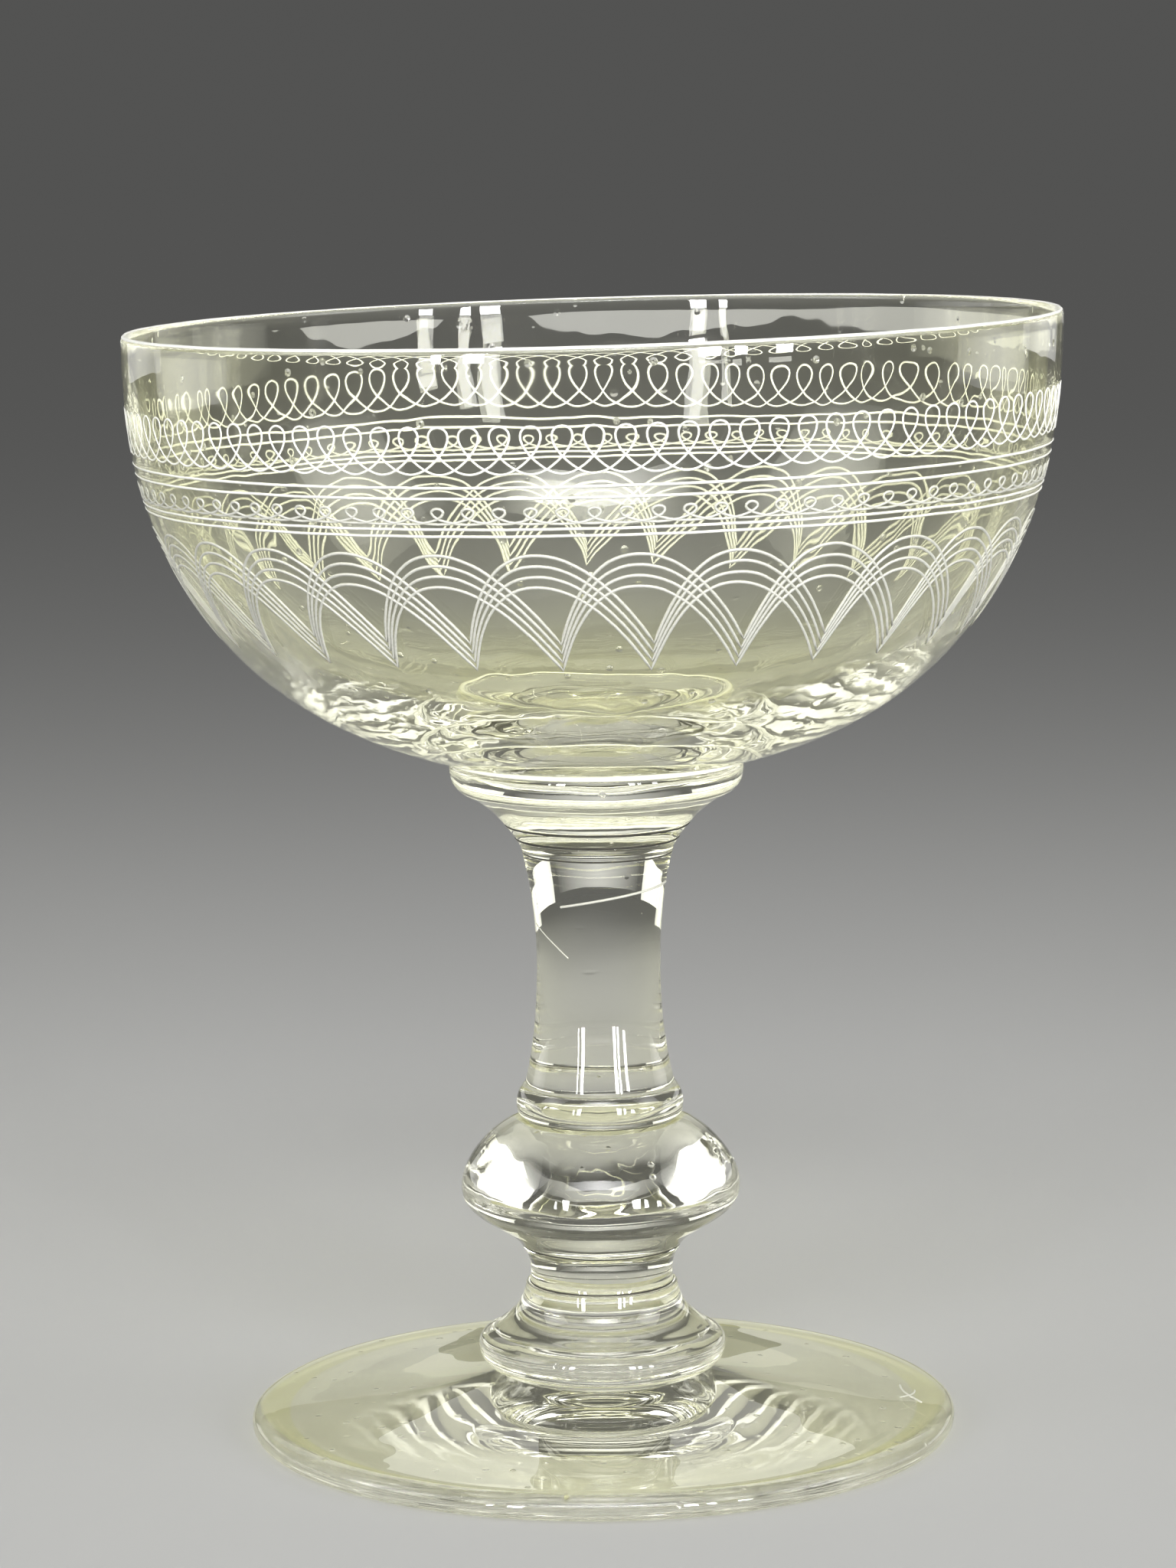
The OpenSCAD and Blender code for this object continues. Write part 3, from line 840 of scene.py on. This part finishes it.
for name, mark in marks.items():
    obj = outlineMesh(name, mark["on"])
    turns = [math.radians(turn - 90) for turn in mark["turn"]]
    growMesh(obj, markTree, {
        "From Turn": turns[0], "To Turn": turns[1],
        "From Drop": mark["drop"][0] * mm, "To Drop": mark["drop"][1] * mm, "Bow": mark["bow"] * mm,
        "Line Width": mark["width"] * mm, "Sink": markCut["sink"] * mm, "Steps": markCut["steps"],
        "Cut": frosted["worn"],
    })
    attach(obj, "root")
    print(name, len(obj.data.polygons), "faces")

# floor, lamps and camera, in metres
floor = {"radius": 5.0, "sides": 96, "below": 0.00003, "colour": (0.43, 0.43, 0.42), "ambient": 0.2}


def paleFloor():
    mesh = bpy.data.meshes.new("paleFloor")
    turns = [math.tau * i / floor["sides"] for i in range(floor["sides"])]
    ring = [(floor["radius"] * math.cos(t), floor["radius"] * math.sin(t), -floor["below"]) for t in turns]
    mesh.from_pydata(ring, [], [list(range(floor["sides"]))])
    obj = bpy.data.objects.new("paleFloor", mesh)
    bpy.context.scene.collection.objects.link(obj)
    material, tree, surface = newMaterial("paleFloor")
    matt = addNode(tree, "ShaderNodeBsdfDiffuse", {"Color": (*floor["colour"], 1)})
    tree.links.new(matt.outputs[0], surface)
    mesh.materials.append(material)


def softWorld():  # the camera, and what the glass shows, meet the floor's colour; the rest is white
    world = bpy.data.worlds.new("softWorld")
    bpy.context.scene.world = world
    world.use_nodes = True
    tree = world.node_tree
    tree.nodes.clear()
    rays = addNode(tree, "ShaderNodeLightPath")
    around = addNode(tree, "ShaderNodeBackground", {"Color": (1, 1, 1, 1), "Strength": floor["ambient"]})
    behind = addNode(tree, "ShaderNodeBackground", {"Color": (*floor["colour"], 1), "Strength": floor["ambient"]})
    inGlass = calc(tree, "MAXIMUM", rays.outputs["Is Glossy Ray"], rays.outputs["Is Transmission Ray"])
    seen = calc(tree, "MAXIMUM", rays.outputs["Is Camera Ray"], inGlass)
    mixed = addNode(tree, "ShaderNodeMixShader", {0: seen, 1: around.outputs[0], 2: behind.outputs[0]})
    tree.links.new(mixed.outputs[0], tree.nodes.new("ShaderNodeOutputWorld").inputs["Surface"])


softBoxes = [
    {
        "name": "topSoft", "at": (0.0, -0.05, 0.62), "aim": (0, -0.05, 0), "size": (0.4, 0.3),
        "power": 0.025, "spread": 60,
    },
    {
        "name": "frontStrip", "at": (0.0, -0.75, 0.85), "aim": (0, 0, 0.08), "size": (1.7, 0.24),
        "power": 1.5, "spread": 50,
    },
    {
        "name": "backSoft", "at": (0.0, 0.75, 0.44), "aim": (0, 0, 0.06), "size": (1.0, 0.2),
        "power": 0.05, "spread": 50,
    },
]
windows = [  # upright soft boxes: turn from the front in degrees, metres away, width, bottom and top, glow
    {"name": "windowRightA", "turn": 27, "away": 1.3, "width": 0.115, "low": 0.03, "high": 0.54, "glow": 13},
    {"name": "windowRightB", "turn": 34, "away": 1.3, "width": 0.072, "low": 0.03, "high": 0.46, "glow": 10},
    {"name": "windowRightC", "turn": 45, "away": 1.3, "width": 0.1, "low": 0.04, "high": 0.34, "glow": 8},
    {"name": "windowLeftA", "turn": -28, "away": 1.3, "width": 0.11, "low": 0.03, "high": 0.56, "glow": 12},
    {"name": "windowLeftB", "turn": -36, "away": 1.3, "width": 0.05, "low": 0.03, "high": 0.44, "glow": 7},
    {"name": "farSoft", "turn": 180, "away": 0.9, "width": 0.8, "low": 0.07, "high": 0.26, "glow": 0.12},
]
windowPairs = [  # one on each side
    {"name": "high", "turn": 78, "away": 0.85, "width": 0.55, "low": 0.28, "high": 0.9, "glow": 1.0},
    {"name": "back", "turn": 138, "away": 0.85, "width": 0.42, "low": 0.05, "high": 0.2, "glow": 0.4},
    {"name": "low", "turn": 112, "away": 0.85, "width": 0.5, "low": 0.003, "high": 0.15, "glow": 0.45},
]
for side, sign in (("Left", -1), ("Right", 1)):
    windows += [{**pair, "name": pair["name"] + side, "turn": sign * pair["turn"]} for pair in windowPairs]
windowSpread, windowAim = 50, (0, 0, 0.08)


def addLamp(settings):
    lamp = bpy.data.lights.new(settings["name"], "AREA")
    lamp.shape = "RECTANGLE"
    lamp.size, lamp.size_y = settings["size"]
    lamp.energy = settings["power"]
    lamp.spread = math.radians(settings["spread"])
    obj = bpy.data.objects.new(settings["name"], lamp)
    obj.location = settings["at"]
    aim = Vector(settings["aim"]) - Vector(settings["at"])
    obj.rotation_euler = aim.to_track_quat("-Z", "Y").to_euler()
    obj.visible_camera = False
    bpy.context.scene.collection.objects.link(obj)


def addWindow(window):
    turn, tall = math.radians(window["turn"]), window["high"] - window["low"]
    addLamp({
        "name": window["name"], "aim": windowAim, "size": (window["width"], tall), "spread": windowSpread,
        "at": (window["away"] * math.sin(turn), -window["away"] * math.cos(turn), window["low"] + tall / 2),
        "power": window["glow"] * window["width"] * tall,
    })


camera = {  # the place in millimetres, the turns in degrees
    "at": (-0.93, -522.8, 147.6), "down": 8.35, "roll": -0.63, "lens": 112.4, "sensor": 36, "clip": (0.05, 20),
}


def addCamera():
    data = bpy.data.cameras.new("photoCamera")
    data.sensor_width = camera["sensor"]
    data.lens = camera["lens"]
    data.clip_start, data.clip_end = camera["clip"]
    obj = bpy.data.objects.new("photoCamera", data)
    obj.matrix_world = (
        Matrix.Translation(Vector(camera["at"]) * mm)
        @ Matrix.Rotation(math.radians(90 - camera["down"]), 4, "X")
        @ Matrix.Rotation(math.radians(camera["roll"]), 4, "Z")
    )
    bpy.context.scene.collection.objects.link(obj)
    bpy.context.scene.camera = obj


paleFloor()
softWorld()
for softBox in softBoxes:
    addLamp(softBox)
for window in windows:
    addWindow(window)
addCamera()
bpy.context.scene.view_settings.view_transform = "Standard"
bounces = {"glossy_bounces": 40, "transmission_bounces": 40, "max_bounces": 60, "transparent_max_bounces": 24}
for kind, most in bounces.items():  # light runs round inside thick glass
    setattr(bpy.context.scene.cycles, kind, most)
print("floor, lamps and camera placed")
